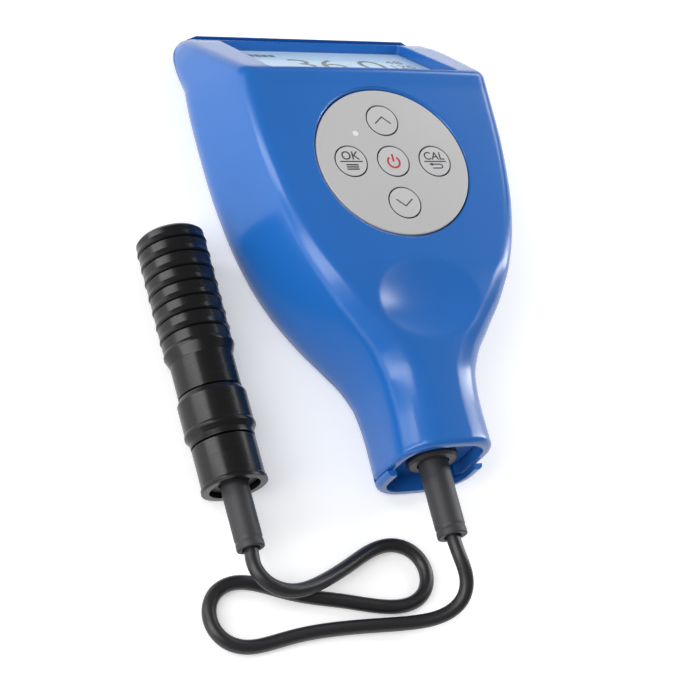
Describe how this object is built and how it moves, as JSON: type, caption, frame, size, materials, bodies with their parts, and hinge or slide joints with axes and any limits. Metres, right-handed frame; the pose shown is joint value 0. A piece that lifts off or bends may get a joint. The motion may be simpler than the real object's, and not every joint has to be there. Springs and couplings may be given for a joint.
{
  "type": "coating thickness gauge",
  "caption": "Hand-held coating thickness gauge: moulded handset with a sloping display and a round keypad, and a ribbed round probe on a thin cable.",
  "frame": {"origin": "on the flat back face, which is the outer face of the battery cover, straight below the middle of the keypad", "axes": "+X to the right of the keypad as it is read, +Y along the handset from the cable end to the display end, +Z out of the keypad"},
  "size_m": [0.0824, 0.1342, 0.0272],
  "materials": {
    "blue_shell": "satin moulded blue plastic",
    "grey_panel": "matt light grey printed panel",
    "grey_key": "satin light grey plastic",
    "clear_window": "polished clear window",
    "lcd_glass": "smooth pale blue display",
    "white_plastic": "matt white plastic",
    "amber_flex": "flexible amber film",
    "lamp_clear": "polished light guide",
    "board_green": "coated circuit board",
    "black_plastic": "satin black plastic",
    "steel": "plated steel",
    "cell_wrap": "printed cell wrap over a steel can",
    "black_rubber": "matt black rubber",
    "cable_skin": "satin black cable skin",
    "black_anodised": "gloss black anodised",
    "brass": "turned brass",
    "ferrite": "sintered dark grey",
    "copper": "wound copper wire"
  },
  "bodies": {
    "handset": {"front_shell": "blue_shell", "rear_shell": "blue_shell", "display_window": "clear_window", "lcd_frame": "white_plastic", "lcd_panel": "lcd_glass", "lcd_ribbon": "amber_flex", "keypad_panel": "grey_panel", "switch_power": "steel", "switch_up": "steel", "switch_down": "steel", "switch_ok": "steel", "switch_cal": "steel", "status_lamp": "lamp_clear", "status_led": "white_plastic", "main_board": "board_green", "processor_chip": "black_plastic", "amplifier_chip": "black_plastic", "clock_crystal": "steel", "lead_socket": "white_plastic", "case_screw_1": "steel", "case_screw_2": "steel", "case_screw_3": "steel", "case_screw_4": "steel", "board_screw_1": "steel", "board_screw_2": "steel", "battery_1": "cell_wrap", "battery_2": "cell_wrap", "battery_spring_1": "steel", "battery_spring_2": "steel", "contact_bridge": "steel", "contact_plus": "steel", "contact_minus": "steel", "cable_gland": "black_plastic", "handset_boot": "black_rubber", "inner_lead": "cable_skin", "cable": "cable_skin", "probe_boot": "black_rubber", "probe_end_cap": "black_plastic", "probe_sleeve": "black_anodised", "probe_collar": "black_anodised", "probe_grip": "black_anodised", "probe_inner_tube": "brass", "probe_nose": "black_plastic", "probe_spring": "steel"},
    "key_power_body": {"key_power": "grey_key", "plunger_power": "black_plastic"},
    "key_up_body": {"key_up": "grey_key", "plunger_up": "black_plastic"},
    "key_down_body": {"key_down": "grey_key", "plunger_down": "black_plastic"},
    "key_ok_body": {"key_ok": "grey_key", "plunger_ok": "black_plastic"},
    "key_cal_body": {"key_cal": "grey_key", "plunger_cal": "black_plastic"},
    "cover_body": {"battery_cover": "blue_shell"},
    "probe_head_body": {"probe_head": "steel", "probe_core": "ferrite", "probe_coil": "copper", "probe_tip": "steel"}
  },
  "joints": [
    {"name": "press_power", "type": "slide", "parent": "handset", "child": "key_power_body", "axis": [0, 0, -1], "range_m": [0, 0.0004], "stiffness_N_per_m": 400, "springref_m": -0.001},
    {"name": "press_up", "type": "slide", "parent": "handset", "child": "key_up_body", "axis": [0, 0, -1], "range_m": [0, 0.0004], "stiffness_N_per_m": 400, "springref_m": -0.001},
    {"name": "press_down", "type": "slide", "parent": "handset", "child": "key_down_body", "axis": [0, 0, -1], "range_m": [0, 0.0004], "stiffness_N_per_m": 400, "springref_m": -0.001},
    {"name": "press_ok", "type": "slide", "parent": "handset", "child": "key_ok_body", "axis": [0, 0, -1], "range_m": [0, 0.0004], "stiffness_N_per_m": 400, "springref_m": -0.001},
    {"name": "press_cal", "type": "slide", "parent": "handset", "child": "key_cal_body", "axis": [0, 0, -1], "range_m": [0, 0.0004], "stiffness_N_per_m": 400, "springref_m": -0.001},
    {"name": "cover_slide", "type": "slide", "parent": "handset", "child": "cover_body", "axis": [0, 1, 0], "range_m": [0, 0.072]},
    {"name": "head_press", "type": "slide", "parent": "handset", "child": "probe_head_body", "axis": [0.0332, -0.9995, 0], "range_m": [0, 0.001], "stiffness_N_per_m": 600, "springref_m": -0.001, "deforming": ["probe_spring"]}
  ]
}
